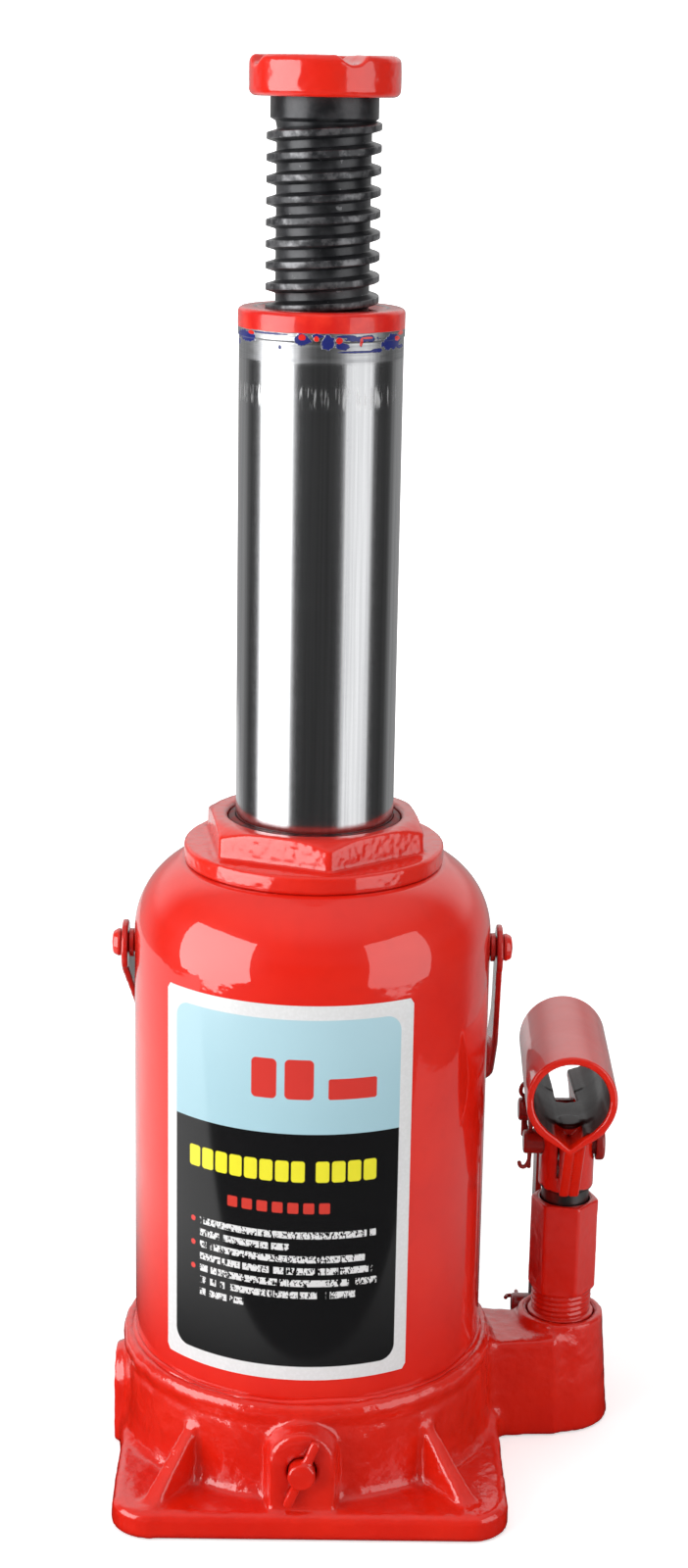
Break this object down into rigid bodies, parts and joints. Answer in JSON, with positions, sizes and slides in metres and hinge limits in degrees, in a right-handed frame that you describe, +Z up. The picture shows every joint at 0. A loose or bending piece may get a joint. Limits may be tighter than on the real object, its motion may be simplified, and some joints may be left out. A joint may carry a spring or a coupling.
{
  "type": "bottle jack",
  "caption": "Hydraulic bottle jack with a round oil tank, ram with extension screw and saddle, hand pump with handle socket, release valve and carry handle.",
  "frame": {"origin": "ram axis at the underside of the base", "axes": "+Z up along the ram; +X towards the hand pump; -Y the front, where the release valve is"},
  "size_m": [0.1699, 0.1453, 0.452],
  "materials": {
    "red_paint": "gloss red paint",
    "red_cast": "gloss red paint over a cast surface",
    "steel": "ground steel",
    "dark_steel": "black oxide satin",
    "cylinder_steel": "honed steel, oiled",
    "copper": "soft copper alloy",
    "rubber": "oil-resistant rubber",
    "bearing_strip": "filled plastic strip",
    "pin_red": "dark red paint",
    "decal_film": "printed film, light blue over black"
  },
  "bodies": {
    "base": {"base_casting": "red_cast", "tank": "red_paint", "tank_gasket_lower": "rubber", "tank_gasket_upper": "rubber", "decal": "decal_film", "cylinder_washer": "copper", "pressure_cylinder": "cylinder_steel", "gland_nut": "red_paint", "ram_wiper": "rubber", "pump_washer": "copper", "pump_body": "red_paint", "pump_gland_ring": "rubber", "link_pin_lower": "pin_red", "link_pin_lower_cotter": "pin_red", "release_ball": "steel", "overload_plug": "pin_red", "overload_spring": "steel", "overload_ball": "steel", "suction_plug": "steel", "suction_ball": "steel", "delivery_plug": "steel", "delivery_spring": "steel", "delivery_ball": "steel", "oil_strainer": "copper", "filler_plug": "rubber", "handle_stud_right": "red_paint", "handle_stud_left": "red_paint"},
    "ram": {"ram": "steel", "piston_guide_ring": "bearing_strip", "piston_cup": "rubber", "piston_retainer": "steel"},
    "screw_stop": {"screw_stop_ring": "steel"},
    "screw": {"extension_screw": "dark_steel", "saddle": "red_paint"},
    "plunger": {"plunger": "steel", "plunger_seal": "rubber", "plunger_pin": "pin_red", "plunger_pin_cotter": "pin_red"},
    "link": {"link_plate_left": "pin_red", "link_plate_right": "pin_red"},
    "handle_socket": {"handle_socket": "red_paint", "link_pin_upper": "pin_red", "link_pin_upper_cotter": "pin_red"},
    "release_valve": {"release_valve": "red_paint", "release_valve_o_ring": "rubber"},
    "carry_handle": {"carry_handle": "red_paint"}
  },
  "joints": [
    {"name": "ram_slide", "type": "slide", "parent": "base", "child": "ram", "axis": [0, 0, 1], "range_m": [-0.15, 0]},
    {"name": "screw_lift", "type": "slide", "parent": "ram", "child": "screw_stop", "axis": [0, 0, 1], "range_m": [-0.06, 0]},
    {"name": "screw_turn", "type": "hinge", "parent": "screw_stop", "child": "screw", "pos_m": [0, 0, 0.4], "axis": [0, 0, 1], "range_deg": [-3410, 5]},
    {"name": "pump_stroke", "type": "slide", "parent": "base", "child": "plunger", "axis": [0, 0, 1], "range_m": [-0.0013, 0.0154]},
    {"name": "link_rock", "type": "hinge", "parent": "base", "child": "link", "pos_m": [0.087, 0.04, 0.0276], "axis": [1, 0, 0], "range_deg": [-0.3, 2]},
    {"name": "handle_swing", "type": "hinge", "parent": "link", "child": "handle_socket", "pos_m": [0.087, 0.04, 0.1017], "axis": [-1, 0, 0], "range_deg": [-2.5, 38]},
    {"name": "release_turn", "type": "hinge", "parent": "base", "child": "release_valve", "pos_m": [-0.001, -0.06, 0.0228], "axis": [0, -1, 0], "range_deg": [0, 360]},
    {"name": "carry_handle_swing", "type": "hinge", "parent": "base", "child": "carry_handle", "pos_m": [0, 0, 0.174], "axis": [1, 0, 0], "range_deg": [0, 105]}
  ],
  "couplings": [
    {"joint": "screw_turn", "follows": "screw_lift", "rad_per_m": 989.48},
    {"joint": "pump_stroke", "follows": "handle_swing", "m_per_rad": 0.023033},
    {"joint": "link_rock", "follows": "handle_swing", "ratio": 0.05}
  ]
}
